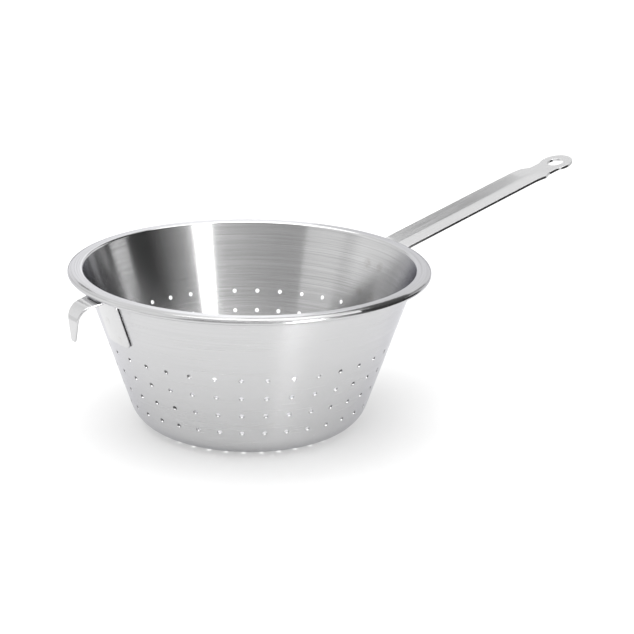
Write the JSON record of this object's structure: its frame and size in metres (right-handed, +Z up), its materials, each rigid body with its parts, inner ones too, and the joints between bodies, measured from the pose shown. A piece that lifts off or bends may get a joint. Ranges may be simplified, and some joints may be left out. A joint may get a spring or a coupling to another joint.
{
  "type": "colander",
  "caption": "Long-handled steel colander: a perforated tapered bowl with a rolled rim, a gutter-shaped strip handle with a hanging eye, and a hook for the edge of a pot.",
  "frame": {"origin": "centre of the underside of the flat base", "axes": "+Z up out of the bowl's mouth, +X along the handle, the hook on the -X side, +Y to the left of the handle seen from the bowl"},
  "size_m": [0.4205, 0.2396, 0.1481],
  "materials": {
    "bowl_steel": "fine circular brush, satin",
    "handle_steel": "smooth satin, cut edges bare",
    "hook_steel": "smooth satin, cut edges bare",
    "weld_steel": "pressed spot, slightly dulled by heat"
  },
  "bodies": {
    "root": {"bowl": "bowl_steel", "handle": "handle_steel", "hook": "hook_steel", "handle_weld_1": "weld_steel", "handle_weld_2": "weld_steel", "handle_weld_3": "weld_steel", "handle_weld_4": "weld_steel", "hook_weld_1": "weld_steel", "hook_weld_2": "weld_steel"}
  },
  "joints": []
}
